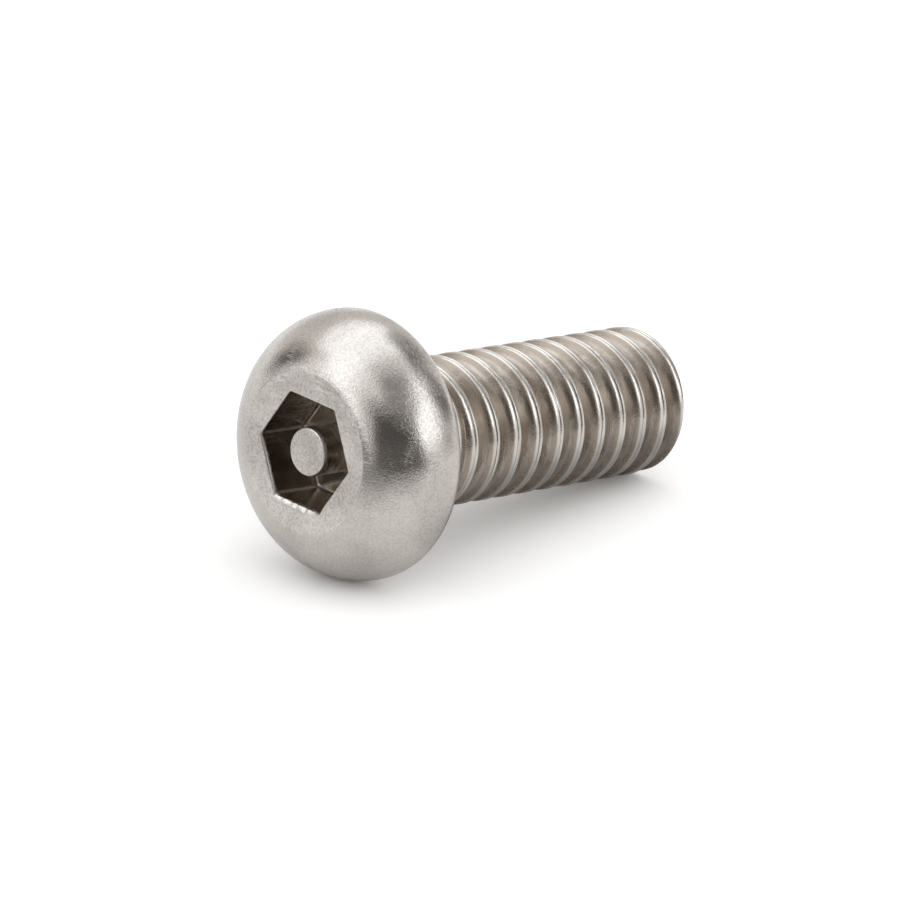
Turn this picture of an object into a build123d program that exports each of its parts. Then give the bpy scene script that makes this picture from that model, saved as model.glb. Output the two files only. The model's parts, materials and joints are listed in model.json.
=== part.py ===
from build123d import *

import os
from math import cos, radians, sin, sqrt, tan

# Button head security screw, 1/4 inch size with 20 threads to the inch, lying on its side.
# All lengths are millimetres and all angles are degrees.

# Head
head_diameter = 11.1
head_height = 3.7
crown_flat_diameter = 6.66
dome_radius = 2.97
rim_radius = 0.7

# Hexagon socket with its centre pin
hexagon_across_flats = 4.4
socket_depth = 2.5
mouth_chamfer = 0.05
pin_diameter = 2.02
pin_recess = 0.17
pin_chamfer = 0.08

# Threaded shank
shank_length = 15.875
thread_diameter = 6.25
thread_depth = 0.625
thread_pitch = 1.27
crest_width = 0.42
flank_angle = 30.0
collar_diameter = 6.3
collar_length = 2.1
runout_length = 1.4
neck_fillet = 0.3
tip_chamfer = 0.2

# How the screw has rolled to rest: the turn about its own axis, from the level side
# direction, of one corner of the hexagon, and of the place where the thread's crest line,
# carried on towards the head, would reach the face under the head
hexagon_turn = 3.65
crest_turn = 14.0

# Small allowances for joining and cutting solids
root_embed = 0.05
cut_margin = 1.0

head_radius = head_diameter / 2
crown_flat_radius = crown_flat_diameter / 2
pin_radius = pin_diameter / 2
crest_radius = thread_diameter / 2
root_radius = crest_radius - thread_depth
collar_radius = collar_diameter / 2
screw_length = head_height + shank_length
collar_end = head_height + collar_length
runout_end = collar_end + runout_length

# Centre of the rim arc, then of the dome arc. The dome arc starts at the edge of the
# crown flat and runs smoothly into the smaller rim arc, which it holds inside itself.
rim_centre = Vector(head_radius - rim_radius, 0, head_height - rim_radius)
crown_edge = Vector(crown_flat_radius, 0, 0)
centre_gap = dome_radius - rim_radius
reach = rim_centre - crown_edge
along = (dome_radius**2 - centre_gap**2 + reach.length**2) / (2 * reach.length)
aside = sqrt(dome_radius**2 - along**2)
reach_direction = reach.normalized()
aside_direction = Vector(-reach_direction.Z, 0, reach_direction.X)
dome_centre = crown_edge + reach_direction * along + aside_direction * aside


def arc_middle(centre, radius, start, end):
    """The point halfway along the short arc from start to end about the centre."""
    between = (start - centre).normalized() + (end - centre).normalized()
    return centre + between.normalized() * radius


blend_point = dome_centre + (rim_centre - dome_centre).normalized() * dome_radius
rim_foot = Vector(rim_centre.X, 0, head_height)
dome_middle = arc_middle(dome_centre, dome_radius, crown_edge, blend_point)
rim_middle = arc_middle(rim_centre, rim_radius, blend_point, rim_foot)

# The fillet under the head leaves the bearing face and meets the collar without a corner
fillet_start = (collar_radius + neck_fillet, head_height)
fillet_corner = (collar_radius, head_height)
fillet_end = (collar_radius, head_height + neck_fillet)

# Ridge of the thread: one tooth carried along a right-hand helix on the root cylinder.
# It starts inside the collar and runs past the tip, where it is cut off with the core.
flank_slope = tan(radians(flank_angle))
tooth_base = crest_width / 2 + (thread_depth + root_embed) * flank_slope
ridge_start = head_height + collar_length * 0.7
ridge_length = screw_length - ridge_start + thread_pitch * 0.7
core_length = ridge_start + ridge_length + thread_pitch
ridge_turn = crest_turn + 360 * (ridge_start - head_height) / thread_pitch

with BuildPart() as ridge:
    with BuildLine():
        Helix(thread_pitch, ridge_length, root_radius, center=(0, 0, ridge_start))
    tooth_plane = Plane(origin=(root_radius, 0, ridge_start), x_dir=(1, 0, 0), z_dir=(0, -1, 0))
    with BuildSketch(tooth_plane):
        with BuildLine():
            Polyline(
                (-root_embed, -tooth_base),
                (thread_depth, -crest_width / 2),
                (thread_depth, crest_width / 2),
                (-root_embed, tooth_base),
                close=True,
            )
        make_face()
    sweep(is_frenet=True)

# The screw on its own axis: crown of the head at height zero, tip at the top
with BuildPart() as upright:
    with BuildSketch(Plane.XZ):
        with BuildLine():
            Line((0, 0), (crown_edge.X, 0))
            ThreePointArc(
                (crown_edge.X, 0),
                (dome_middle.X, dome_middle.Z),
                (blend_point.X, blend_point.Z),
            )
            ThreePointArc(
                (blend_point.X, blend_point.Z),
                (rim_middle.X, rim_middle.Z),
                (rim_foot.X, rim_foot.Z),
            )
            Line((rim_foot.X, rim_foot.Z), fillet_start)
            Bezier(fillet_start, fillet_corner, fillet_end)
            Polyline(
                fillet_end,
                (collar_radius, collar_end),
                (root_radius, runout_end),
                (root_radius, core_length),
                (0, core_length),
                (0, 0),
            )
        make_face()
    revolve(axis=Axis.Z)
    add(ridge.part, rotation=(0, 0, ridge_turn))

    # The tip is cut square with a small chamfer on its edge
    with BuildSketch(Plane.XZ):
        with BuildLine():
            Polyline(
                (0, screw_length),
                (crest_radius - tip_chamfer, screw_length),
                (crest_radius + cut_margin, screw_length - tip_chamfer - cut_margin),
                (crest_radius + 2 * cut_margin, screw_length - tip_chamfer - cut_margin),
                (crest_radius + 2 * cut_margin, core_length + cut_margin),
                (0, core_length + cut_margin),
                close=True,
            )
        make_face()
    revolve(axis=Axis.Z, mode=Mode.SUBTRACT)

    # The hexagon socket leaves the round pin standing at its centre
    with BuildSketch(Plane.XY):
        RegularPolygon(hexagon_across_flats / 2, 6, major_radius=False, rotation=hexagon_turn)
        Circle(pin_radius, mode=Mode.SUBTRACT)
    extrude(amount=socket_depth, mode=Mode.SUBTRACT)
    with BuildSketch(Plane.XY):
        Circle(pin_radius)
    extrude(amount=pin_recess, mode=Mode.SUBTRACT)
    pin_top = faces().filter_by(Plane.XY).sort_by_distance((0, 0, pin_recess))[0]
    chamfer(pin_top.edges(), length=pin_chamfer)
    crown_edges = edges().filter_by_position(Axis.Z, -0.01, 0.01)
    chamfer(crown_edges.filter_by(GeomType.LINE), length=mouth_chamfer)

# The screw lies on the rim of its head and on the thread at its tip. The lean of the axis
# brings the lowest points of both to the same level, found by halving an interval.
rim_reach = Vector(rim_centre.Z, 0, rim_centre.X)
tip_reach = Vector(screw_length - tip_chamfer, 0, crest_radius)


def height_difference(lean):
    """How much lower the head's rim reaches than the thread's tip at this lean."""
    rim_drop = rim_reach.X * sin(lean) + rim_reach.Z * cos(lean) + rim_radius
    tip_drop = tip_reach.X * sin(lean) + tip_reach.Z * cos(lean)
    return rim_drop - tip_drop


low_lean = 0.0
high_lean = radians(30)
for halving in range(50):
    middle_lean = (low_lean + high_lean) / 2
    if height_difference(middle_lean) > 0:
        low_lean = middle_lean
    else:
        high_lean = middle_lean
lean = (low_lean + high_lean) / 2

# The axis points along +X and down by the lean, and the screw's own X is the level side
lying = Plane(origin=(0, 0, 0), x_dir=(0, 1, 0), z_dir=(cos(lean), 0, -sin(lean)))
with BuildPart() as turned:
    with Locations(lying):
        add(upright.part)

bounds = turned.part.bounding_box()
to_ground = (-bounds.center().X, -bounds.center().Y, -bounds.min.Z)
with BuildPart() as security_screw:
    with Locations(to_ground):
        add(turned.part)

security_screw.part.label = "security_screw"
os.makedirs("parts", exist_ok=True)
export_step(security_screw.part, "parts/security_screw.step")
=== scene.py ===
"""Dresses the button head security screw: its head with the pin-in-hexagon socket, its rolled thread,
the steel finishes that they wear, and the small studio that the photograph was taken in."""

import json
import logging
import math
from dataclasses import dataclass
from enum import Enum

import bpy
import numpy as np
from bpy.types import ID, Material, Node, NodeSocket, NodeTree, Object
from mathutils import Matrix

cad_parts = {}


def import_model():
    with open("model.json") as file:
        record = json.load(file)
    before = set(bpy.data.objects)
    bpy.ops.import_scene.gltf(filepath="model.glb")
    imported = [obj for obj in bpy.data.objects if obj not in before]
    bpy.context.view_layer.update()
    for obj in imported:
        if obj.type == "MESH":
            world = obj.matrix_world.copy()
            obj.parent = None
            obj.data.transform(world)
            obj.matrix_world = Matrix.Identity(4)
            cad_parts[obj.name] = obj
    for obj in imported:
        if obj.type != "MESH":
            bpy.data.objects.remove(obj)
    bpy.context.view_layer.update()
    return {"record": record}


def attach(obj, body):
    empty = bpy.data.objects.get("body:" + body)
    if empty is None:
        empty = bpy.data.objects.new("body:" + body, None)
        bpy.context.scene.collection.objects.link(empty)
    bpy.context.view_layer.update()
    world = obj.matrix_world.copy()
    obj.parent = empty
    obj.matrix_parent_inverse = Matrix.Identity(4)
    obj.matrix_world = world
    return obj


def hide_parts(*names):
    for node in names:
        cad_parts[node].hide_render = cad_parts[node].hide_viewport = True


Array = np.ndarray
MM = 0.001
# The hexagon's corners are one gap apart, and the middle of each side is half a gap from them
CORNER_GAP, HALF_GAP = np.radians(60.0), np.radians(30.0)
LOG = logging.getLogger("security_screw")


class Finish(Enum):
    """The steel surfaces of the screw, each named for how it was made."""

    TUMBLED = "tumbled_head_steel"
    FACED = "faced_crown_steel"
    BROACHED = "broached_socket_steel"
    TURNED = "turned_pin_steel"
    ROLLED = "rolled_thread_steel"


class CardKind(Enum):
    """What a card in the studio does: it lights the screw or shows it something dark."""

    SOFT_BOX = "soft_box"
    FLAG = "flag"


# A soft box looks slightly blue and a flag slightly warm
CARD_TINTS = {CardKind.SOFT_BOX: (0.95, 0.975, 1.0, 1.0), CardKind.FLAG: (1.0, 0.98, 0.95, 1.0)}


@dataclass(frozen=True)
class NodeBench:
    """Adds shader nodes to one tree and joins them.

    Attributes:
        tree: a material's, world's or group's node tree.
    """

    tree: NodeTree

    @classmethod
    def emptied(cls, owner: ID) -> "NodeBench":
        """Clears the node tree of a new material or world.

        Args:
            owner: the material or world.

        Returns:
            The bench for its nodes.
        """
        owner.use_nodes = True
        owner.node_tree.nodes.clear()
        return cls(owner.node_tree)

    def add(self, kind: str, sockets: dict | None = None, **settings: object) -> Node:
        """Adds one node, sets its options and fills or joins its sockets.

        Args:
            kind: the node's type name.
            sockets: input name or number to a value, or to the output socket that feeds it.
            settings: the node's own options.

        Returns:
            The new node.
        """
        node = self.tree.nodes.new(kind)
        for name, value in settings.items():
            setattr(node, name, value)
        for key, value in (sockets or {}).items():
            if isinstance(value, NodeSocket):
                self.tree.links.new(value, node.inputs[key])
            else:
                node.inputs[key].default_value = value
        return node

    def math(self, operation: str, *values: object) -> NodeSocket:
        """Adds a Math node, or for more than two values a chain of them from the left.

        Args:
            operation: the sum, such as MULTIPLY.
            values: its numbers or the sockets that feed them, in order.

        Returns:
            The last node's output.
        """
        if len(values) > 2:
            values = (self.math(operation, *values[:-1]), values[-1])
        return self.add("ShaderNodeMath", dict(enumerate(values)), operation=operation).outputs[0]

    def ramp(
        self, value: object, low: float, high: float, start: float = 0.0, end: float = 1.0
    ) -> NodeSocket:
        """Maps low..high smoothly to start..end, held at both ends.

        Args:
            value: the socket to map.
            low: where the rise begins.
            high: where the rise ends.
            start: the output at low.
            end: the output at high.

        Returns:
            The mapped value.
        """
        sockets = {"Value": value, "From Min": low, "From Max": high, "To Min": start, "To Max": end}
        return self.add("ShaderNodeMapRange", sockets, interpolation_type="SMOOTHSTEP").outputs["Result"]

    def blend(self, share: object, first: object, second: object) -> NodeSocket:
        """Mixes two colours.

        Args:
            share: how much of the second shows.
            first: the colour at share 0.
            second: the colour at share 1.

        Returns:
            The mixed colour.
        """
        return self.add("ShaderNodeMix", {0: share, 6: first, 7: second}, data_type="RGBA").outputs[2]

    def noise(
        self, vector: object, scale: object, detail: float, roughness: float = 0.5, distortion: float = 0.0
    ) -> NodeSocket:
        """Adds a noise pattern.

        Args:
            vector: the coordinates.
            scale: patches per metre, or per millimetre on a skin map.
            detail: how many finer layers it has.
            roughness: how strong those layers are.
            distortion: how far it is pulled into curls.

        Returns:
            The pattern, about 0 to 1.
        """
        sockets = {"Vector": vector, "Scale": scale, "Detail": detail, "Roughness": roughness}
        return self.add("ShaderNodeTexNoise", {**sockets, "Distortion": distortion}).outputs["Fac"]

    def towards(self, axes: Node, azimuth: float) -> NodeSocket:
        """How far a place lies in a level direction: X times its cosine plus Y times its sine.

        Args:
            axes: the node that gives X and Y.
            azimuth: the direction, in degrees from +X.

        Returns:
            The distance.
        """
        angle = math.radians(azimuth)
        sides = ((0, math.cos(angle)), (1, math.sin(angle)))
        return self.math("ADD", *(self.math("MULTIPLY", axes.outputs[n], share) for n, share in sides))


class SurfaceMarks:
    """The node groups that more than one finish uses, made once."""

    # How much finer the second layer of pits is, and each layer's share of the height
    FINER, PIT_SHARES = 2.3, (0.6, 0.4)
    # The turn of each set of scratches in radians, and how far it is drawn out
    SCRATCH_SETS = (
        ((0.3, 0.2, 0.4), 0.09),
        ((1.1, 0.7, 2.1), 0.07),
        ((0.5, 2.0, 1.3), 0.11),
        ((2.3, 1.2, 0.2), 0.06),
    )
    # Half width of a scratch in levels of its noise, and patches per metre in which scratches gather
    SCRATCH_WIDTH, SCRATCH_PATCHES = 0.022, 900.0
    # Noise levels between which each mask rises
    PIT_MASK, PATCH_MASK, LINE_MASK = (0.42, 0.66), (0.4, 0.62), (0.45, 0.7)

    @staticmethod
    def _new(name: str, values: dict) -> tuple[NodeTree, Node, Node]:
        """Starts a node group with inputs Vector and some values, and outputs Height and Mask.

        Args:
            name: the group's name.
            values: each value input's name and default.

        Returns:
            The group, its input node and its output node.
        """
        group = bpy.data.node_groups.new(name, "ShaderNodeTree")
        group.interface.new_socket("Vector", in_out="INPUT", socket_type="NodeSocketVector")
        for label, default in values.items():
            socket = group.interface.new_socket(label, in_out="INPUT", socket_type="NodeSocketFloat")
            socket.default_value = default
        for label in ("Height", "Mask"):
            group.interface.new_socket(label, in_out="OUTPUT", socket_type="NodeSocketFloat")
        return group, group.nodes.new("NodeGroupInput"), group.nodes.new("NodeGroupOutput")

    @classmethod
    def orange_peel(cls) -> NodeTree:
        """Small soft pits, as tumbling with stones leaves them: two layers of noise added together.

        Returns:
            The group, with outputs Height and Mask.
        """
        group, given, out = cls._new("orange_peel", {"Pits per metre": 7500.0})
        bench = NodeBench(group)
        place, scale = given.outputs["Vector"], given.outputs["Pits per metre"]
        coarse = bench.noise(place, scale, 1.0, 0.5, 0.5)
        fine = bench.noise(place, bench.math("MULTIPLY", scale, cls.FINER), 1.0, 0.5, 0.5)
        layers = [bench.math("MULTIPLY", *layer) for layer in zip((coarse, fine), cls.PIT_SHARES)]
        group.links.new(bench.math("ADD", *layers), out.inputs["Height"])
        group.links.new(bench.ramp(coarse, *cls.PIT_MASK), out.inputs["Mask"])
        return group

    @classmethod
    def cross_scratches(cls) -> NodeTree:
        """Hair-thin scratches in four directions: stretched noise, shown only close to its middle level.

        Returns:
            The group, with outputs Height and Mask.
        """
        group, given, out = cls._new("cross_scratches", {"Hairs per metre": 5200.0})
        bench = NodeBench(group)
        place, lines = given.outputs["Vector"], []
        for turn, stretch in cls.SCRATCH_SETS:
            sockets = {"Vector": place, "Scale": (1.0, stretch, 1.0), "Rotation": turn}
            turned = bench.add("ShaderNodeMapping", sockets).outputs[0]
            pattern = bench.noise(turned, given.outputs["Hairs per metre"], 1.0, 0.4)
            off_middle = bench.math("ABSOLUTE", bench.math("SUBTRACT", pattern, 0.5))
            lines.append(bench.ramp(off_middle, 0.0, cls.SCRATCH_WIDTH, 1.0, 0.0))
        patches = bench.ramp(bench.noise(place, cls.SCRATCH_PATCHES, 1.0), *cls.PATCH_MASK)
        mask = bench.math("MULTIPLY", bench.math("MAXIMUM", *lines), patches)
        group.links.new(bench.math("SUBTRACT", 1.0, mask), out.inputs["Height"])
        group.links.new(mask, out.inputs["Mask"])
        return group

    @classmethod
    def drawn_lines(cls) -> NodeTree:
        """Fine parallel tool lines along the skin map's first axis: noise drawn out along them.

        Returns:
            The group, with outputs Height and Mask.
        """
        group, given, out = cls._new("drawn_lines", {"Lines per mm": 14.0, "Length": 0.05})
        bench = NodeBench(group)
        sockets = {"X": given.outputs["Length"], "Y": 1.0, "Z": 1.0}
        sockets = {0: given.outputs["Vector"], 1: bench.add("ShaderNodeCombineXYZ", sockets).outputs[0]}
        drawn = bench.add("ShaderNodeVectorMath", sockets, operation="MULTIPLY").outputs[0]
        pattern = bench.noise(drawn, given.outputs["Lines per mm"], 3.0, 0.6)
        group.links.new(pattern, out.inputs["Height"])
        group.links.new(bench.ramp(pattern, *cls.LINE_MASK), out.inputs["Mask"])
        return group

    @classmethod
    def use(cls, bench: NodeBench, name: str, sockets: dict) -> Node:
        """Puts a shared group into a material.

        Args:
            bench: the material's bench.
            name: the group's name, which is also its maker's name here.
            sockets: the group's inputs.

        Returns:
            The group node.
        """
        group = bpy.data.node_groups.get(name) or getattr(cls, name)()
        return bench.add("ShaderNodeGroup", sockets, node_tree=group)


@dataclass(frozen=True)
class SteelFinish:
    """One stainless finish: its colours, its gloss and the marks on it.

    Attributes:
        kind: which surface it is for.
        light: the steel's colour where it is clean.
        dark: its colour where it is dull or dirty; on the thread, the colour of its darker grooves and of the
            painted shade on their flanks.
        gloss: roughness of the shiny and of the dull patches.
        swell: height of wide, shallow unevenness, in metres.
        peel: depth of the tumbled pits, in metres.
        pits: pits per metre.
        scratch: depth of the scratches, in metres.
        lines: depth of the tool lines, in metres.
        line_size: tool lines per millimetre, and how far they are drawn out.
        skin_turn: 90 degrees where the tool lines run along the second axis of the skin map.
    """

    kind: Finish
    light: tuple
    dark: tuple
    gloss: tuple
    swell: float = 0.0
    peel: float = 0.0
    pits: float = 7500.0
    scratch: float = 0.0
    lines: float = 0.0
    line_size: tuple = (14.0, 0.05)
    skin_turn: float = 0.0

    def build(self) -> Material:
        """Makes the material: a metal whose colour, roughness and bump come from the shared marks.

        Returns:
            The material.
        """
        material = bpy.data.materials.new(self.kind.value)
        bench = NodeBench.emptied(material)
        place = bench.add("ShaderNodeTexCoord").outputs["Object"]
        skin = bench.add("ShaderNodeUVMap", uv_map="skin").outputs[0]
        sockets = {"Vector": skin, "Rotation": (0.0, 0.0, math.radians(self.skin_turn))}
        skin = bench.add("ShaderNodeMapping", sockets).outputs[0]
        peel = SurfaceMarks.use(bench, "orange_peel", {"Vector": place, "Pits per metre": self.pits})
        scratch = SurfaceMarks.use(bench, "cross_scratches", {"Vector": place})
        sockets = {"Vector": skin, "Lines per mm": self.line_size[0], "Length": self.line_size[1]}
        lines = SurfaceMarks.use(bench, "drawn_lines", sockets)
        patches_per_metre, swells_per_metre, scratch_gloss = 420.0, 1500.0, 0.03
        drift = bench.ramp(bench.noise(place, patches_per_metre, 3.0, 0.6), 0.36, 0.66)
        dull = self._dullness(bench, drift, peel.outputs["Mask"], lines.outputs["Mask"])
        colour = bench.blend(dull, (*self.light, 1.0), (*self.dark, 1.0))
        shiny, rough = self.gloss
        rougher = bench.math("MULTIPLY", bench.math("POWER", dull, 2.0), rough - shiny)
        scratched = bench.math("MULTIPLY", scratch.outputs["Mask"], scratch_gloss)
        marks = (
            (self.swell, bench.noise(place, swells_per_metre, 1.5)),
            (self.peel, peel.outputs["Height"]),
            (self.lines, lines.outputs["Height"]),
            (self.scratch, scratch.outputs["Height"]),
        )
        steel = {"Base Color": colour, "Metallic": 1.0}
        steel["Roughness"] = bench.math("ADD", rougher, shiny, scratched)
        normal = {}
        for depth, height in marks:
            if depth > 0.0:
                bump = {"Distance": depth, "Strength": 1.0, "Height": height, **normal}
                normal = {"Normal": bench.add("ShaderNodeBump", bump).outputs[0]}
        shader = bench.add("ShaderNodeBsdfPrincipled", {**steel, **normal})
        bench.add("ShaderNodeOutputMaterial", {"Surface": shader.outputs[0]})
        return material

    def _dullness(
        self, bench: NodeBench, drift: NodeSocket, pits: NodeSocket, lines: NodeSocket
    ) -> NodeSocket:
        """Where the steel is dull: drift and pits, drift on the tool lines, or darker grooves with painted
        shade on their flanks.

        Args:
            bench: the material's bench.
            drift: slow patches, 0 to 1.
            pits: the pits' mask.
            lines: the tool lines' mask.

        Returns:
            0 where clean, 1 where dull.
        """
        if self.kind is Finish.ROLLED:
            names = ("rise", "flank")
            rise, flank = (bench.add("ShaderNodeAttribute", attribute_name=n).outputs["Fac"] for n in names)
            groove_rise_ends, groove_stain_levels, line_levels = (0.9, 0.975), (0.42, 0.60), (0.12, 0.35)
            groove = bench.ramp(rise, *groove_rise_ends, 1.0, 0.0)
            stained, bare = (bench.math("MULTIPLY", lines, level) for level in line_levels)
            stain = bench.math("ADD", bench.ramp(drift, 0.0, 1.0, *groove_stain_levels), stained)
            # Darker in the grooves: random stain there, and the painted shade stored on the head-facing
            # flanks
            groove_darkening = bench.math("MULTIPLY", groove, bench.math("MAXIMUM", stain, flank))
            return bench.math("MAXIMUM", groove_darkening, bare)
        if self.kind in (Finish.BROACHED, Finish.TURNED):
            return bench.math("MULTIPLY", lines, bench.ramp(drift, 0.0, 1.0, 0.5, 1.0))
        return bench.math("ADD", bench.math("MULTIPLY", drift, 0.5), bench.math("MULTIPLY", pits, 0.5))


def steel_finishes() -> dict[Finish, Material]:
    """Makes every finish of the screw.

    Returns:
        Finish to its material.
    """
    finishes = (
        SteelFinish(
            Finish.TUMBLED, (0.69, 0.643, 0.6), (0.485, 0.457, 0.425), (0.12, 0.20),
            swell=6.0e-6, peel=9.5e-6, pits=11000.0, scratch=2.0e-6,
        ),
        SteelFinish(
            Finish.FACED, (0.82, 0.775, 0.727), (0.47, 0.436, 0.402), (0.28, 0.40),
            peel=1.3e-5, pits=10000.0, scratch=4.0e-6,
        ),
        SteelFinish(
            Finish.BROACHED, (0.38, 0.335, 0.285), (0.22, 0.19, 0.155), (0.20, 0.36),
            swell=1.5e-5, peel=2.0e-6, lines=3.0e-6, line_size=(16.0, 0.05), skin_turn=90.0,
        ),
        SteelFinish(
            Finish.TURNED, (0.66, 0.62, 0.57), (0.28, 0.245, 0.205), (0.24, 0.38),
            peel=2.0e-6, lines=8.0e-6, line_size=(11.0, 0.03),
        ),
        SteelFinish(
            Finish.ROLLED, (0.72, 0.69, 0.65), (0.235, 0.168, 0.108), (0.13, 0.42),
            swell=2.5e-5, peel=8.0e-6, pits=13000.0, lines=1.0e-5, line_size=(9.0, 0.06),
        ),
    )
    return {finish.kind: finish.build() for finish in finishes}


@dataclass(frozen=True)
class ScrewAxis:
    """The screw's own axis as it lies, from the crown towards the tip.

    Attributes:
        crown: centre of the flat on top of the head, in metres.
        along: unit vector down the axis.
        side: level unit vector square to it, where turns are counted from.
        rise: unit vector square to both.
    """

    crown: Array
    along: Array
    side: Array
    rise: Array

    @classmethod
    def from_record(cls, record: dict) -> "ScrewAxis":
        """Reads the axis from the socket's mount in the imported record.

        Args:
            record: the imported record.

        Returns:
            The axis.
        """
        mount = next(m for m in record["mounts"] if m["name"] == "drive_socket")
        along = -np.array(mount["axis"], float)
        along /= np.linalg.norm(along)
        side = np.array([0.0, 1.0, 0.0])
        return cls(np.array(mount["pos_m"], float), along, side, np.cross(along, side))

    def place(self, depth: Array, radius: Array, turn: Array) -> Array:
        """Puts points on the screw: crown + depth along the axis + radius in the direction of the turn.

        Args:
            depth: distance from the crown towards the tip, in millimetres.
            radius: distance from the axis, in millimetres.
            turn: right-hand angle about the axis from the level side, in radians.

        Returns:
            Points in metres, one more dimension than the inputs.
        """
        depth, radius, turn = np.broadcast_arrays(depth, radius, turn)
        outward = np.cos(turn)[..., None] * self.side + np.sin(turn)[..., None] * self.rise
        return self.crown + MM * (depth[..., None] * self.along + radius[..., None] * outward)


def rounded(side: float, first: Array, second: Array, blend: float) -> Array:
    """The larger or smaller of two heights, its corner rounded: half of a + b +- sqrt((a - b)^2 + blend^2).

    Args:
        side: 1 for the larger, -1 for the smaller.
        first: heights a.
        second: heights b.
        blend: size of the rounding, in millimetres.

    Returns:
        The blended heights.
    """
    return 0.5 * (first + second + side * np.sqrt((first - second) ** 2 + blend**2))


def quads(here: Array, beside: Array) -> Array:
    """The corners of the faces between rows: a point, the one beside it, then those two in the next row.

    Args:
        here: rows by columns of what each point has, its number or its place on the skin map.
        beside: the same of the point in the next column.

    Returns:
        Four entries a face.
    """
    return np.stack([here[:-1], beside[:-1], beside[1:], here[1:]], 2).reshape(-1, 4, *here.shape[2:])


def in_scene(name: str, data: ID) -> Object:
    """Makes an object and links it to the scene.

    Args:
        name: the object's name.
        data: its mesh or camera.

    Returns:
        The object.
    """
    made = bpy.data.objects.new(name, data)
    bpy.context.scene.collection.objects.link(made)
    return made


def make_piece(
    name: str,
    points: Array,
    faces: Array,
    skin: Array,
    finish_of_face: Array,
    materials: list[Material],
    crease: float,
) -> Object:
    """Makes an object of four-cornered faces, some with two corners in one, and drops those without area.

    Args:
        name: the object's name.
        points: vertex positions in metres, one row each.
        faces: four vertex numbers a face.
        skin: two skin map coordinates for each corner of each face.
        finish_of_face: material number of each face.
        materials: the object's materials.
        crease: edges that turn by more than this many degrees stay sharp.

    Returns:
        The object.
    """
    repeated = faces == np.roll(faces, 1, axis=1)
    kept = repeated.sum(axis=1) < 2
    faces, skin, finish_of_face, repeated = faces[kept], skin[kept], finish_of_face[kept], repeated[kept]
    used = ~repeated
    corners = faces[used]
    counts = used.sum(axis=1)
    order = np.unique(corners)
    number = np.zeros(len(points), int)
    number[order] = np.arange(len(order))
    mesh = bpy.data.meshes.new(name)
    mesh.vertices.add(len(order))
    mesh.vertices.foreach_set("co", points[order].astype(np.float32).ravel())
    mesh.loops.add(len(corners))
    mesh.loops.foreach_set("vertex_index", number[corners].astype(np.int32))
    mesh.polygons.add(len(counts))
    mesh.polygons.foreach_set("loop_start", (np.cumsum(counts) - counts).astype(np.int32))
    mesh.polygons.foreach_set("material_index", finish_of_face.astype(np.int32))
    mesh.update(calc_edges=True)
    mesh.uv_layers.new(name="skin").data.foreach_set("uv", skin[used].astype(np.float32).ravel())
    mesh.polygons.foreach_set("use_smooth", np.ones(len(counts), bool))
    mesh.set_sharp_from_angle(angle=math.radians(crease))
    mesh.validate()
    for material in materials:
        mesh.materials.append(material)
    return in_scene(name, mesh)


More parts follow.
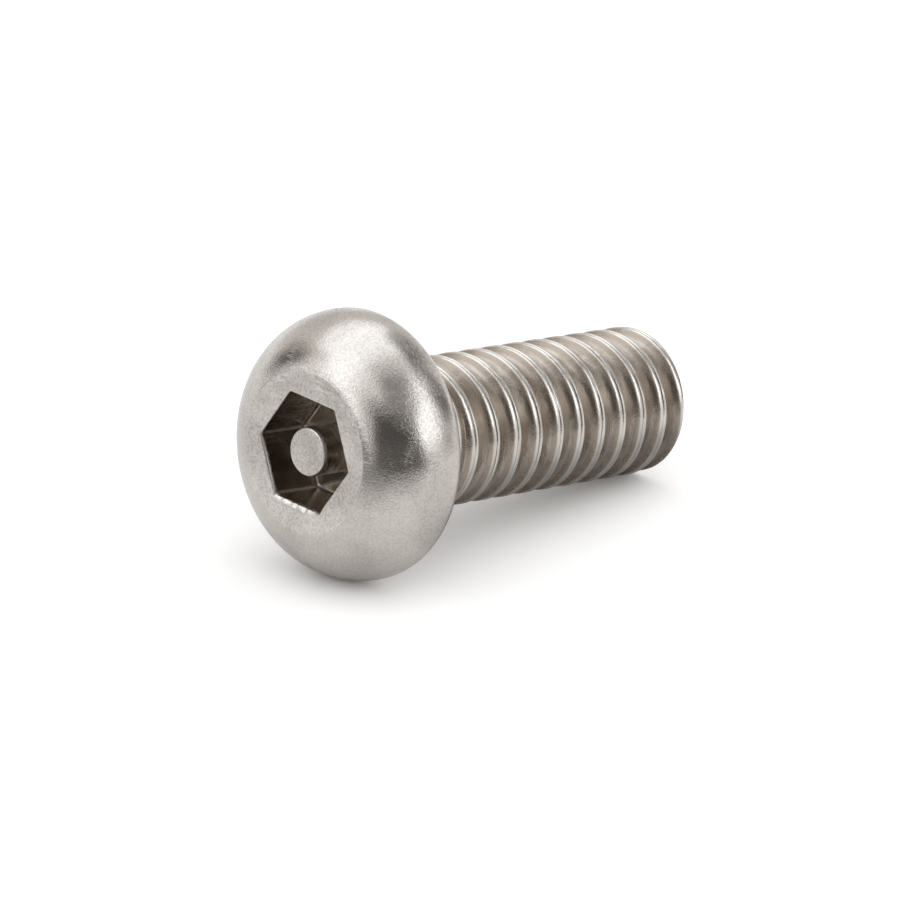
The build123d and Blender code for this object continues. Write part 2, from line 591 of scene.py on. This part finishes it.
@dataclass
class ButtonHead:
    """The domed head and the socket in it, one closed skin of revolution with hexagonal rows in the socket.

    Attributes:
        axis: the screw's axis.
        crown_radius: radius of the flat on top.
        dome: centre radius, centre depth and arc radius of the dome.
        rim: centre radius, centre depth and arc radius of the rim.
        across_flats: width of the hexagon.
        corner_round: radius in the hexagon's corners.
        painted_corner_line: half reach of the painted highlight, a line of lighter faced steel, in each
            corner of the socket, in radians.
        hexagon_turn: turn of one hexagon corner, in degrees.
        socket_depth: depth of the socket floor.
        lip: width of the broken edge at the mouth, and how much it wavers.
        worn_lips: where it is wider: the turn and half reach in degrees, and how much wider.
        pin_radius: radius of the pin.
        pin_recess: how far the pin's end lies below the crown.
        pin_edge: rounding of the pin's end.
        pin_lead: length of the pin's tapered lead, and how much thinner its end is.
        pin_foot: rounding where the pin meets the floor.
        floor_fillet: rounding where the walls meet the floor.
        crown_step: how far the flat crown stands proud of the dome, and how soon the dome recovers.
        crown_edge: how far in from the crown's edge the rows of its rounding lie.
        columns_per_side: faces along one side of the hexagon.
    """

    axis: ScrewAxis
    crown_radius: float = 3.33
    dome: tuple = (2.58346, 2.87465, 2.97)
    rim: tuple = (4.85, 3.0, 0.7)
    across_flats: float = 4.4
    corner_round: float = 0.16
    painted_corner_line: float = 0.03
    hexagon_turn: float = 3.65
    socket_depth: float = 2.5
    lip: tuple = (0.05, 0.008)
    worn_lips: tuple = ((-88.0, 29.0, 0.18), (-28.0, 33.0, 0.09))
    pin_radius: float = 1.01
    pin_recess: float = 0.17
    pin_edge: float = 0.06
    pin_lead: tuple = (0.14, 0.03)
    pin_foot: float = 0.08
    floor_fillet: float = 0.12
    crown_step: tuple = (0.018, 0.12)
    crown_edge: tuple = (0.05, 0.03, 0.018, 0.008, 0.0)
    columns_per_side: int = 56

    def turns(self) -> Array:
        """Turns of the columns: 30 degrees times a power of an even share, closest together at the corners.

        Returns:
            Angles from the first corner, in radians, one column each.
        """
        even = np.linspace(-1.0, 1.0, self.columns_per_side, endpoint=False)
        crowding = 1.4
        one_side = HALF_GAP * np.sign(even) * np.abs(even) ** crowding
        sides = CORNER_GAP * np.arange(6)
        return (sides[:, None] + one_side[None, :]).ravel()

    @staticmethod
    def from_corner(turn: Array) -> Array:
        """Angle from the nearest corner of the hexagon.

        Args:
            turn: angle from the first corner, in radians.

        Returns:
            Angle of 0 to 30 degrees, in radians.
        """
        return np.abs((turn + HALF_GAP) % CORNER_GAP - HALF_GAP)

    def hexagon(self, turn: Array) -> Array:
        """Radius of the hexagon: half its width over the cosine from mid-side, a circle in the corners.

        Args:
            turn: angle from a corner, in radians.

        Returns:
            Radius in millimetres.
        """
        from_corner = self.from_corner(turn)
        side = self.across_flats / 2 / np.cos(HALF_GAP - from_corner)
        centre = (self.across_flats / 2 - self.corner_round) / np.cos(HALF_GAP)
        ends = np.arctan2(self.corner_round * 0.5, centre + self.corner_round * np.cos(HALF_GAP))
        under_root = np.maximum(self.corner_round**2 - (centre * np.sin(from_corner)) ** 2, 0.0)
        corner = centre * np.cos(from_corner) + np.sqrt(under_root)
        return np.where(from_corner < ends, corner, side)

    def rows(self) -> tuple[Array, Array]:
        """The rows of the skin, from the pin's end over the socket, crown, dome and rim to the underside.

        Returns:
            One line a row of depth, round radius, share of the hexagon, share of the lip and share of the lip
            in the depth, and the finish number of the band of faces that follows each row.
        """
        spread = np.linspace
        quarter = spread(0.0, np.pi / 2, 5)
        recess, edge, pin, foot = self.pin_recess, self.pin_edge, self.pin_radius, self.pin_foot
        floor, fillet = self.socket_depth, self.floor_fillet
        lead, taper = self.pin_lead
        end = pin - taper - edge
        below_lead, over_floor, wall_top, lip_sink, dome_gap = 0.05, 0.12, 0.3, 1.25, 0.012
        out = spread(0.0, 1.0, 9)[1:]
        bend = quarter[1:]
        lip = np.concatenate([[0.0], 1 - np.cos(bend)])
        sink = np.concatenate([[lip_sink], 1 - np.sin(bend)])
        share = spread(0.0, 1.0, 10)[1:-1]
        centre_r, centre_s, arc = self.dome
        step, recovery = self.crown_step
        edge_drop = np.array([0.0, 0.0, 0.006, 0.5 * step, step])
        rim_r, rim_s, rim_arc = self.rim
        start = np.arctan2(self.crown_radius + dome_gap - centre_r, centre_s)
        join = np.arctan2(rim_s - centre_s, rim_r - centre_r)
        sweep = spread(start, np.pi / 2 + join, 64)
        radius = centre_r + arc * np.sin(sweep)
        sunk = step * np.exp(-(radius - self.crown_radius) / recovery)
        rim = spread(join, np.pi / 2, 22)[1:]
        bands = (
            (Finish.FACED, recess, np.array([0.0, 0.2, 0.45, 0.7, 0.9]) * end),
            (Finish.FACED, recess + edge * (1 - np.cos(quarter)), end + edge * np.sin(quarter)),
            (Finish.FACED, spread(recess + edge, recess + lead, 4)[1:], spread(pin - taper, pin, 4)[1:]),
            (Finish.TURNED, spread(recess + lead + below_lead, floor - over_floor, 12), pin),
            (Finish.BROACHED, floor - foot + foot * np.sin(quarter), pin + foot - foot * np.cos(quarter)),
            (Finish.BROACHED, floor, (1 - out) * (pin + foot) - out * fillet, out),
            # Painted highlight: the fillet at the foot of the walls takes the lighter faced steel
            (Finish.FACED, floor - fillet * (1 - np.cos(bend)), -fillet * (1 - np.sin(bend)), 1.0),
            (Finish.BROACHED, spread(floor - fillet, wall_top, 14)[1:], 0.0, 1.0),
            (Finish.FACED, 0.0, 0.0, 1.0, lip, sink),
            (Finish.FACED, 0.0, share * (self.crown_radius - self.crown_edge[0]), 1 - share, 1 - share),
            (Finish.FACED, edge_drop, self.crown_radius - np.array(self.crown_edge)),
            (Finish.TUMBLED, centre_s - arc * np.cos(sweep) + sunk, radius),
            (Finish.TUMBLED, rim_s + rim_arc * np.sin(rim), rim_r + rim_arc * np.cos(rim)),
            # The underside wears the thread's steel and, storing no rise, takes its full groove darkening:
            # painted shade under the head
            (Finish.ROLLED, rim_s + rim_arc, np.array([4.7, 4.2, 3.8, 3.5, 3.0, 1.5, 0.0])),
        )
        rows, finish = [], []
        for kind, *given in bands:
            numbers = np.broadcast_arrays(*given, *[0.0] * (5 - len(given)))
            rows.append(np.stack(numbers, -1).reshape(-1, 5).astype(float))
            finish += [list(Finish).index(kind)] * len(rows[-1])
        return np.concatenate(rows), np.array(finish)

    def lip_width(self, turn: Array) -> Array:
        """Width of the broken edge: a slight waver all round, and a ragged, flat hump at each worn place.

        Args:
            turn: angle from the first corner, in radians.

        Returns:
            Width in millimetres.
        """
        width, waver = self.lip
        lip = np.full_like(turn, width) + waver * np.sin(19.0 * turn) * np.sin(7.0 * turn + 1.0)
        ragged = 1.0 + 0.12 * np.sin(31.0 * turn) + 0.1 * np.sin(53.0 * turn + 2.0)
        for middle, reach, wear in self.worn_lips:
            away = (np.degrees(turn) + self.hexagon_turn - middle + 180.0) % 360.0 - 180.0
            lip = lip + wear * ragged * np.exp(-((away / reach) ** 4))
        return lip

    def build(self, finishes: dict[Finish, Material]) -> Object:
        """Lays the rows round the axis and joins them: radius = round part + hexagon part + lip part.

        Args:
            finishes: the screw's materials.

        Returns:
            The head.
        """
        turn = self.turns()
        rows, finish = self.rows()
        lip = self.lip_width(turn)
        radius = rows[:, 1:2] + rows[:, 2:3] * self.hexagon(turn) + rows[:, 3:4] * lip
        depth = rows[:, 0:1] + rows[:, 4:5] * lip
        points = self.axis.place(depth, radius, turn + np.radians(self.hexagon_turn))
        count, columns = len(rows), len(turn)
        index = np.arange(count * columns).reshape(count, columns)
        index[0, :] = 0
        index[-1, :] = (count - 1) * columns
        step = np.hypot(np.diff(depth.mean(axis=1)), np.diff(radius.mean(axis=1)))
        run = np.broadcast_to(np.concatenate([[0.0], np.cumsum(step)])[:, None], (count, columns))
        round_turn = np.concatenate([turn, [turn[0] + 2 * np.pi]])
        around = np.broadcast_to(round_turn * self.across_flats / 2, (count, columns + 1))
        skin = quads(np.stack([around[:, :-1], run], -1), np.stack([around[:, 1:], run], -1))
        kinds = list(Finish)
        wall = (finish[:-1, None] == kinds.index(Finish.BROACHED)) & (rows[:-1, 2:3] == 1.0)
        # Painted highlight: the wall faces next to each socket corner take the lighter faced steel
        bare = wall & (self.from_corner(turn) < self.painted_corner_line)
        return make_piece(
            "button_head",
            points.reshape(-1, 3),
            quads(index, np.roll(index, -1, axis=1)),
            skin,
            np.where(bare, kinds.index(Finish.FACED), finish[:-1, None]).ravel(),
            [finishes[kind] for kind in kinds],
            crease=38.0,
        )


@dataclass
class RolledShank:
    """The neck, collar, run-out and thread, a skin whose rows follow the thread's helix.

    Attributes:
        axis: the screw's axis.
        start: depth at which the skin begins, inside the head.
        underside: depth of the head's underside.
        tip: depth of the end face.
        collar: radius of the plain collar and the depth at which it ends.
        runout_end: depth at which the grooves are full.
        neck: radius of the fillet under the head.
        neck_share: how much of the fillet's reach is drawn before it runs straight into the head.
        crest_radius: radius over the crests.
        tooth: height of the thread.
        pitch: advance of one turn.
        crest: reach of the crest from its line towards the head and towards the tip.
        flank: angle of the flanks, in degrees.
        crest_turn: turn at which the crest line would reach the underside, in degrees.
        seam: depth, half width and place across the crest of the seam that rolling leaves in it.
        lips: the two lips beside it, each its place and its radius on the head's and on the tip's side.
        root_round: how softly the flanks run into the root.
        tip_edge: chamfer at the tip.
        rows_per_pitch: rows on each turn.
        columns: faces round the axis.
    """

    axis: ScrewAxis
    start: float = 3.5
    underside: float = 3.7
    tip: float = 19.575
    collar: tuple = (3.15, 5.8)
    runout_end: float = 7.2
    neck: float = 0.3
    neck_share: float = 0.94
    crest_radius: float = 3.125
    tooth: float = 0.625
    pitch: float = 1.27
    crest: tuple = (0.285, 0.1)
    flank: float = 30.0
    crest_turn: float = 24.0
    seam: tuple = (0.05, 0.036, -0.055)
    lips: tuple = ((-0.1, 0.26, 0.02), (0.08, 0.4, 0.2))
    root_round: float = 0.04
    tip_edge: float = 0.2
    rows_per_pitch: int = 38
    columns: int = 180

    @property
    def crest_start(self) -> float:
        """Depth of the crest line at turn zero, in millimetres."""
        return self.underside - self.pitch * self.crest_turn / 360.0

    @property
    def root(self) -> float:
        """Radius at the bottom of the grooves, in millimetres."""
        return self.crest_radius - self.tooth

    def ridge(self, across: Array, along: Array) -> Array:
        """Height of the thread over its root: straight flanks and a crest with a seam between two lips.

        Args:
            across: distance from the crest line along the axis, in millimetres.
            along: turns along the helix, in radians.

        Returns:
            Height in millimetres.
        """
        # The seam and the lips sway slowly and quiver, and the seam's depth changes along it
        wander = 0.012 * np.sin(1.7 * along + 0.4) + 0.008 * np.sin(4.3 * along + 1.9)
        wander = wander + 0.004 * np.sin(23.0 * along) * np.sin(7.3 * along + 2.0)
        depth = self.seam[0] * (1.0 + 0.35 * np.sin(2.6 * along) + 0.25 * np.sin(7.1 * along + 0.8))
        behind, ahead = -across - self.crest[0], across - self.crest[1]
        over_next = np.minimum(self.pitch - across - self.crest[0], self.pitch + across - self.crest[1])
        reach = np.minimum(np.maximum(behind, ahead), over_next)
        flank = self.tooth - reach / math.tan(math.radians(self.flank))
        crest = np.full_like(across, -1.0)
        for place, head_side, tip_side in self.lips:
            beside = across - wander - place
            round_off = np.where(beside < 0.0, head_side, tip_side)
            crest = np.maximum(crest, -(beside**2) / (2.0 * round_off))
        middle = (across - wander - self.seam[2]) / self.seam[1]
        crest = self.tooth + crest - depth * np.exp(-(middle**2))
        near_crest = np.abs(across) < 0.45
        crest_blend, lift = 0.015, 0.002
        ridge = np.where(near_crest, rounded(-1.0, flank, crest, crest_blend), flank)
        return rounded(1.0, ridge, np.zeros_like(across), self.root_round) + lift

    def core(self, depth: Array) -> Array:
        """Radius without the thread: the neck's quarter circle, collar and run-out cone, then below the root.

        Args:
            depth: depth from the crown, in millimetres.

        Returns:
            Radius in millimetres.
        """
        radius, end = self.collar
        reach = np.clip((self.underside + self.neck - depth) / self.neck, 0.0, self.neck_share)
        fillet = self.neck * (1.0 - np.sqrt(np.maximum(1.0 - reach**2, 0.0)))
        length, drop = 0.3, 0.2
        stations = [self.start, end, self.runout_end, self.runout_end + length, self.tip]
        radii = [radius, radius, self.root, self.root - drop, self.root - drop]
        return np.interp(depth, stations, radii) + fillet

    def radius(self, depth: Array, across: Array, along: Array) -> Array:
        """Radius of the skin: the larger of thread and core, cut by the tip's cone.

        Args:
            depth: depth from the crown, in millimetres.
            across: distance from the crest line, in millimetres.
            along: turns along the helix, in radians.

        Returns:
            Radius in millimetres.
        """
        thread = self.root + self.ridge(across, along)
        cone = self.crest_radius - self.tip_edge + (self.tip - depth)
        collar_blend, tip_blend = 0.02, 0.03
        return rounded(-1.0, rounded(1.0, thread, self.core(depth), collar_blend), cone, tip_blend)

    def offsets(self) -> Array:
        """Distances of one pitch's rows from the crest line, closest together on the lips and the seam.

        Returns:
            Distances from minus half a pitch to half a pitch, in millimetres.
        """
        even = np.linspace(-1.0, 1.0, self.rows_per_pitch + 1)
        linear, cubic = 0.42, 0.58
        return self.pitch / 2 * (linear * even + cubic * even**3)

    def build(self, finishes: dict[Finish, Material]) -> Object:
        """Lays the rows along the helix: depth = crest start + pitch times turn + offset, held at the ends.

        Args:
            finishes: the screw's materials.

        Returns:
            The shank.
        """
        per, columns, pitch, crest_start = self.rows_per_pitch, self.columns, self.pitch, self.crest_start
        first = math.floor((self.start - crest_start - pitch / 2) / pitch) - 1
        last = math.ceil((self.tip - crest_start + pitch / 2) / pitch) + 1
        offsets = self.offsets()
        number = np.arange((last - first) * per + 1)
        mean = first * pitch + pitch * (number // per) + offsets[number % per]
        turn = 2 * np.pi * np.arange(columns) / columns
        free = crest_start + mean[:, None] + pitch * turn / (2 * np.pi)
        depth = np.clip(free, self.start, self.tip)
        phase = (depth - crest_start) / pitch - turn / (2 * np.pi)
        across = pitch * (phase - np.round(phase))
        radius = self.radius(depth, across, turn + 2 * np.pi * np.round(phase))
        body = self.axis.place(depth, radius, turn).reshape(-1, 3)
        lowest = np.argmax(free > self.start, axis=0) - 1
        highest = np.argmax(free >= self.tip, axis=0)
        index = np.clip(number[:, None], lowest, highest) * columns + np.arange(columns)
        wrapped = np.vstack([index[per:, :1], np.repeat(index[-1:, :1], per, axis=0)])
        faces = quads(index, np.hstack([index[:, 1:], wrapped]))
        mean_radius = 3.1
        lap = 2 * np.pi * mean_radius * (number[:-1] // per + first)
        left = lap[:, None] + mean_radius * turn
        right = left + mean_radius * 2 * np.pi / columns
        row = number[:-1] % per
        low, high = (np.broadcast_to(offsets[n][:, None], left.shape) for n in (row, row + 1))
        skin = [np.stack(place, -1) for place in ((left, low), (right, low), (right, high), (left, high))]
        tip_points, tip_faces, tip_skin = self.end_face(index[-1], radius[-1], turn, self.tip, len(body))
        after = len(body) + len(tip_points)
        neck_points, neck_faces, neck_skin = self.end_face(index[0], radius[0], turn, self.start, after)
        shank = make_piece(
            "threaded_shank",
            np.concatenate([body, tip_points, neck_points]),
            np.concatenate([faces, tip_faces, neck_faces[:, ::-1]]),
            np.concatenate([np.stack(skin, -2).reshape(-1, 4, 2), tip_skin, neck_skin[:, ::-1]]),
            np.repeat([0, 1, 0], [len(faces), len(tip_faces), len(neck_faces)]),
            [finishes[Finish.ROLLED], finishes[Finish.FACED]],
            crease=50.0,
        )
        self.mark_rise(shank)
        return shank

    def end_face(
        self, ring: Array, radius: Array, turn: Array, depth: float, offset: int
    ) -> tuple[Array, Array, Array]:
        """Closes an end with slightly dished circles: sink = the dish times 1 - share squared.

        Args:
            ring: vertex numbers of the end ring.
            radius: radius of the ring, in millimetres.
            turn: turns of the ring, in radians.
            depth: depth of the end, in millimetres.
            offset: number of the first new vertex.

        Returns:
            The new points, the faces and their skin coordinates.
        """
        share = np.array([1.0, 0.97, 0.93, 0.85, 0.7, 0.5, 0.3, 0.12, 0.0])[:, None]
        sink, begin = 0.12, 0.93
        sunk = depth - sink * np.clip(1.0 - (share[1:] / begin) ** 2, 0.0, 1.0)
        points = self.axis.place(sunk, share[1:] * radius, turn)
        index = offset + np.arange(points[..., 0].size).reshape(points.shape[:2])
        index[-1, :] = index[-1, 0]
        index = np.vstack([ring, index])
        flat = np.stack([share * radius * np.cos(turn), share * radius * np.sin(turn)], -1)
        faces, skin = (quads(each, np.roll(each, -1, axis=1)) for each in (index, flat))
        return points.reshape(-1, 3), faces, skin

    def mark_rise(self, shank: Object) -> None:
        """Stores on each point its rise over the root as a share of the tooth, and how much painted shade
        darkens its flank.

        Args:
            shank: the finished shank.
        """
        mesh = shank.data
        place = np.empty(len(mesh.vertices) * 3, np.float32)
        mesh.vertices.foreach_get("co", place)
        from_crown = place.reshape(-1, 3) - self.axis.crown
        beside = from_crown - np.outer(from_crown @ self.axis.along, self.axis.along)
        rise = (np.linalg.norm(beside, axis=1) / MM - self.root) / self.tooth
        turn = np.arctan2(beside @ self.axis.rise, beside @ self.axis.side)
        depth = from_crown @ self.axis.along / MM
        phase = (depth - self.crest_start) / self.pitch - turn / (2 * np.pi)
        # Full from a tenth of a pitch beside the crest line
        head_side = np.clip(-10.0 * (phase - np.round(phase)), 0.0, 1.0)
        # Painted shade on the head-facing flank, from 0.4 of the tooth up, at most 0.7 of the way to the dark
        # colour
        begin, span, dull = 0.4, 0.25, 0.7
        flank = head_side * np.clip((rise - begin) / span, 0.0, 1.0) * dull
        for name, value in (("rise", rise), ("flank", flank)):
            mesh.attributes.new(name, "FLOAT", "POINT").data.foreach_set("value", value.astype(np.float32))


@dataclass(frozen=True)
class Card:
    """A soft-edged card round the screw, seen in the steel and not by the camera.

    Attributes:
        name: the card's name.
        kind: soft box or flag.
        azimuth: direction of its middle from +X towards +Y, in degrees.
        elevation: the middle's height over the horizon, in degrees.
        width: how wide it looks from the screw, in degrees.
        height: how tall it looks, in degrees.
        level: how bright it looks, where 1 is white.
        edge: share of each half that fades out.
        distance: how far away it stands, in metres.
        middle: height of the place that it faces, in metres.
    """

    name: str
    kind: CardKind
    azimuth: float
    elevation: float
    width: float
    height: float
    level: float
    edge: float
    distance: float
    middle: float = 0.005

    def build(self) -> Object:
        """Makes the card face the screw: half width = distance times the tangent of half its angle.

        Returns:
            The card.
        """
        azimuth, elevation = math.radians(self.azimuth), math.radians(self.elevation)
        level = math.cos(elevation)
        out = np.array([level * math.cos(azimuth), level * math.sin(azimuth), math.sin(elevation)])
        across = np.array([-math.sin(azimuth), math.cos(azimuth), 0.0])
        up = np.cross(out, across)
        half = self.distance * np.tan(np.radians([self.width / 2, self.height / 2]))
        signs = np.array([[-1, -1], [1, -1], [1, 1], [-1, 1]], float)
        points = self.distance * out + signs[:, :1] * half[0] * across + signs[:, 1:] * half[1] * up
        points += np.array([0.0, 0.0, self.middle])
        mesh = bpy.data.meshes.new(self.name)
        mesh.from_pydata(points.tolist(), [], [[0, 3, 2, 1]])
        mesh.uv_layers.new(name="skin").data.foreach_set("uv", signs[[0, 3, 2, 1]].ravel())
        mesh.materials.append(self.material())
        card = in_scene(self.name, mesh)
        return card

    def material(self) -> Material:
        """A plain level of light that fades out at the edges and lets the camera look through.

        Returns:
            The material.
        """
        material = bpy.data.materials.new(self.name)
        bench = NodeBench.emptied(material)
        skin = bench.add("ShaderNodeUVMap", uv_map="skin").outputs[0]
        axes = bench.add("ShaderNodeSeparateXYZ", {0: skin})
        sides = [bench.math("ABSOLUTE", axes.outputs[n]) for n in (0, 1)]
        fades = [bench.ramp(side, 1.0 - self.edge, 1.0, 1.0, 0.0) for side in sides]
        mirrored = bench.add("ShaderNodeLightPath").outputs["Is Glossy Ray"]
        shown = bench.math("MULTIPLY", *fades, mirrored)
        light = bench.add("ShaderNodeEmission", {"Color": CARD_TINTS[self.kind], "Strength": self.level})
        clear = bench.add("ShaderNodeBsdfTransparent")
        mix = bench.add("ShaderNodeMixShader", {0: shown, 1: clear.outputs[0], 2: light.outputs[0]})
        bench.add("ShaderNodeOutputMaterial", {"Surface": mix.outputs[0]})
        return material


@dataclass
class Studio:
    """The floor, the surroundings, the cards and the camera.

    Attributes:
        axis: the screw's axis.
        surround: level of the white surroundings that light the scene.
        horizon: sine of the height over the horizon up to which that light grows.
        front_light: how much more of that light comes from the front.
        light_turn: turn from the camera's view to where that front lies, in degrees.
        floor_colour: grey of the floor as the steel shows it, and as the camera does, where it is white.
        painted_thread_shadow: reach of the painted shadow on the floor that the steel sees under the thread,
            and its loss of light.
        painted_floor_shade: distances towards the camera between which the floor, as the steel sees it,
            darkens in painted shade, and to what share.
        fade_turn: turn from the camera's view to where it darkens, in degrees.
        stand: the camera's place from the crown's centre, in metres.
        heading: azimuth and downward angle of the camera's view, in degrees.
        lens: focal length for a sensor 36 mm wide.
        shift: sideways and upward shift of the frame, as shares of its width.
        cards: the soft boxes and flags.
    """

    axis: ScrewAxis
    surround: float = 1.12
    horizon: float = 0.2
    front_light: float = 0.25
    light_turn: float = 212.0
    floor_colour: tuple = (0.81, 1.12)
    painted_thread_shadow: tuple = (0.011, 0.45)
    painted_floor_shade: tuple = (0.018, 0.045, 0.35)
    fade_turn: float = 160.0
    stand: tuple = (-0.156139, -0.161312, 0.086128)
    heading: tuple = (44.4187, 20.978)
    lens: float = 240.0
    shift: tuple = (-0.0024, 0.0007)
    cards: tuple = (
        Card("overhead_soft_box", CardKind.SOFT_BOX, 82.0, 68.0, 78.0, 52.0, 1.6, 0.3, 0.6),
        Card("left_soft_box", CardKind.SOFT_BOX, 151.0, 35.0, 24.0, 68.0, 1.75, 0.22, 0.58),
        Card("right_strip", CardKind.SOFT_BOX, -82.0, 36.0, 40.0, 54.0, 1.85, 0.25, 0.56),
        Card("ceiling_gap", CardKind.FLAG, -121.0, 54.0, 68.0, 60.0, 0.34, 0.75, 0.5),
        Card("photographer", CardKind.FLAG, -142.0, 15.0, 92.0, 68.0, 0.06, 0.65, 0.45),
        Card("far_side_flag", CardKind.FLAG, -9.0, 51.0, 52.0, 34.0, 0.24, 0.55, 0.54),
        Card("right_flag", CardKind.FLAG, -36.0, 28.0, 38.0, 42.0, 0.2, 0.6, 0.53),
        Card("right_low_grey", CardKind.FLAG, -54.0, 5.0, 26.0, 22.0, 0.5, 0.6, 0.52),
        Card("far_wall", CardKind.FLAG, 62.0, 34.0, 120.0, 58.0, 0.74, 0.3, 0.7),
        Card("left_flag", CardKind.FLAG, 112.0, 17.0, 42.0, 36.0, 0.14, 0.8, 0.52),
        Card("low_left_flag", CardKind.FLAG, 156.0, -2.0, 68.0, 17.0, 0.2, 0.5, 0.07),
        Card("low_camera_flag", CardKind.FLAG, -137.0, 4.0, 88.0, 40.0, 0.12, 0.6, 0.06),
    )

    def floor(self) -> Object:
        """A wide level sheet at z = 0, matte white, which keeps the screw's shadow.

        Returns:
            The floor.
        """
        mesh = bpy.data.meshes.new("floor")
        reach, signs = 4.0, ((-1, -1), (1, -1), (1, 1), (-1, 1))
        mesh.from_pydata([(x * reach, y * reach, 0.0) for x, y in signs], [], [[0, 1, 2, 3]])
        mesh.materials.append(self.paper())
        floor = in_scene("floor", mesh)
        return floor

    def paper(self) -> Material:
        """White to the camera. The steel sees painted shade on it towards the camera and a painted shadow
        under the thread, but light that has left the floor once already meets it evenly.

        Returns:
            The material.
        """
        material = bpy.data.materials.new("floor_paper")
        bench = NodeBench.emptied(material)
        path = bench.add("ShaderNodeLightPath")
        axes = bench.add("ShaderNodeSeparateXYZ", {0: bench.add("ShaderNodeTexCoord").outputs["Object"]})
        # Painted shade that only the steel sees: the floor darkens towards the camera
        near, far, share = self.painted_floor_shade
        painted_floor_grey = bench.ramp(bench.towards(axes, self.heading[0] + self.fade_turn), near, far, 1.0, share)
        # Painted shadow on the floor under the thread, seen only in the steel
        reach, loss = self.painted_thread_shadow
        inner, begin, full = 0.3 * reach, -0.7 * reach, -0.1 * reach
        beside = bench.ramp(bench.math("ABSOLUTE", axes.outputs["Y"]), inner, reach, loss, 0.0)
        under = bench.math("MULTIPLY", beside, bench.ramp(axes.outputs["X"], begin, full))
        painted_floor_grey = bench.math("MULTIPLY", painted_floor_grey, bench.math("SUBTRACT", 1.0, under))
        painted_floor_grey = bench.math("MAXIMUM", painted_floor_grey, bench.ramp(path.outputs["Diffuse Depth"], 0.0, 1.0))
        painted_floor_grey = bench.math("MULTIPLY", painted_floor_grey, self.floor_colour[0])
        grey = bench.blend(path.outputs["Is Camera Ray"], painted_floor_grey, (self.floor_colour[1],) * 3 + (1.0,))
        paper = bench.add("ShaderNodeBsdfDiffuse", {"Color": grey})
        bench.add("ShaderNodeOutputMaterial", {"Surface": paper.outputs[0]})
        return material

    def surroundings(self) -> None:
        """White all round: strength 1 for camera, mirror and clear rays, its own level as a light."""
        world = bpy.data.worlds.new("surroundings")
        bench = NodeBench.emptied(world)
        path = bench.add("ShaderNodeLightPath")
        rays = ("Is Camera Ray", "Is Glossy Ray", "Is Transmission Ray")
        seen = bench.math("MAXIMUM", *(path.outputs[ray] for ray in rays))
        way = bench.add("ShaderNodeSeparateXYZ", {0: bench.add("ShaderNodeTexCoord").outputs["Generated"]})
        front = bench.towards(way, self.heading[0] + self.light_turn)
        lean = bench.math("ADD", 1.0, bench.math("MULTIPLY", self.front_light, front))
        light = bench.math("MULTIPLY", self.surround, bench.ramp(way.outputs["Z"], 0.0, self.horizon), lean)
        unseen = bench.math("MULTIPLY", light, bench.math("SUBTRACT", 1.0, seen))
        level = bench.math("ADD", unseen, seen)
        white = bench.add("ShaderNodeBackground", {"Color": (1.0, 1.0, 1.0, 1.0), "Strength": level})
        bench.add("ShaderNodeOutputWorld", {"Surface": white.outputs[0]})
        bpy.context.scene.world = world

    def camera(self) -> Object:
        """The camera where the photograph was taken from: its back looks along -Z, its right stays level.

        Returns:
            The camera.
        """
        azimuth, down = (math.radians(a) for a in self.heading)
        level = math.cos(down)
        ahead = np.array([level * math.cos(azimuth), level * math.sin(azimuth), -math.sin(down)])
        right = np.array([math.sin(azimuth), -math.cos(azimuth), 0.0])
        data = bpy.data.cameras.new("camera")
        data.lens = self.lens
        data.sensor_width = 36.0
        data.shift_x, data.shift_y = self.shift
        data.clip_start, data.clip_end = 0.01, 20.0
        camera = in_scene("camera", data)
        matrix = np.eye(4)
        matrix[:3, 0], matrix[:3, 1], matrix[:3, 2] = right, np.cross(right, ahead), -ahead
        matrix[:3, 3] = self.axis.crown + np.array(self.stand)
        camera.matrix_world = Matrix(matrix.tolist())
        bpy.context.scene.camera = camera
        return camera

    def build(self) -> None:
        """Sets up the camera, the floor, the surroundings and the cards."""
        self.camera()
        self.floor()
        self.surroundings()
        for card in self.cards:
            card.build()
        bpy.context.scene.view_settings.view_transform = "Standard"


def dress(piece: Object) -> Object:
    """Says that a piece belongs to the screw and stands for its solid.

    Args:
        piece: a finished piece.

    Returns:
        The same piece.
    """
    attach(piece, "root")
    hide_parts("security_screw")
    return piece


def corners(box: tuple) -> list[list[float]]:
    """The two corners of a box as plain lists.

    Args:
        box: its lowest and highest corner.

    Returns:
        The same corners.
    """
    return [[float(x) for x in corner] for corner in box]


def main() -> None:
    """Builds the screw and its studio, and reports each piece."""
    logging.basicConfig(level=logging.INFO, format="%(name)s: %(message)s")
    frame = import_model()
    axis = ScrewAxis.from_record(frame["record"])
    Studio(axis).build()
    finishes = steel_finishes()
    for maker in (ButtonHead(axis), RolledShank(axis)):
        piece = dress(maker.build(finishes))
        piece.data.calc_loop_triangles()
        LOG.info("%s: %d triangles", piece.name, len(piece.data.loop_triangles))


if __name__ == "__main__":
    main()
